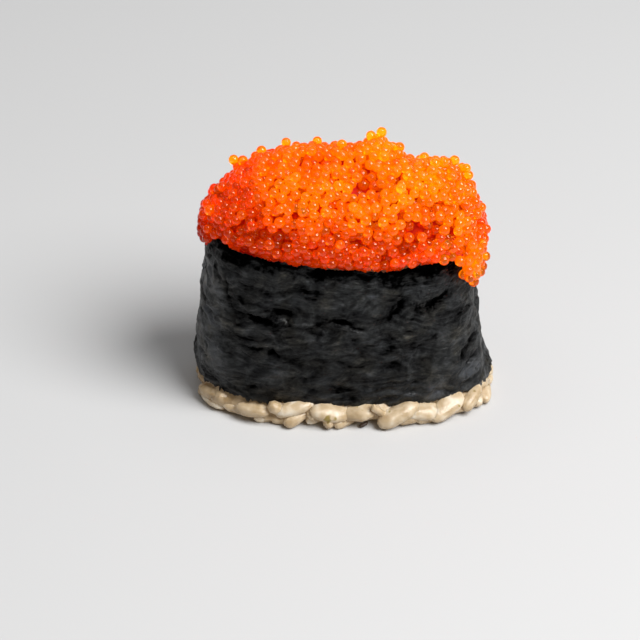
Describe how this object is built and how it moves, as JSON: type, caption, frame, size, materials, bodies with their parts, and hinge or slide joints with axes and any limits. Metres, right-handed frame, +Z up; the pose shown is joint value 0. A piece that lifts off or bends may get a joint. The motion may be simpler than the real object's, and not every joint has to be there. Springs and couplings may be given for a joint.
{
  "type": "gunkan sushi",
  "caption": "Oval block of rice wrapped in a black seaweed strip and heaped with small glossy orange fish roe.",
  "frame": {"origin": "middle of the underside of the whole sushi", "axes": "+X along the sushi, -Y towards its front, +Z up"},
  "size_m": [0.0544, 0.0314, 0.0503],
  "materials": {
    "rice": "cooked rice, moist and slightly translucent",
    "nori": "pressed seaweed sheet, damp, with a soft sheen",
    "roe": "fish eggs, wet, translucent and glossy"
  },
  "bodies": {
    "root": {"rice": "rice", "nori": "nori", "roe": "roe"}
  },
  "joints": []
}
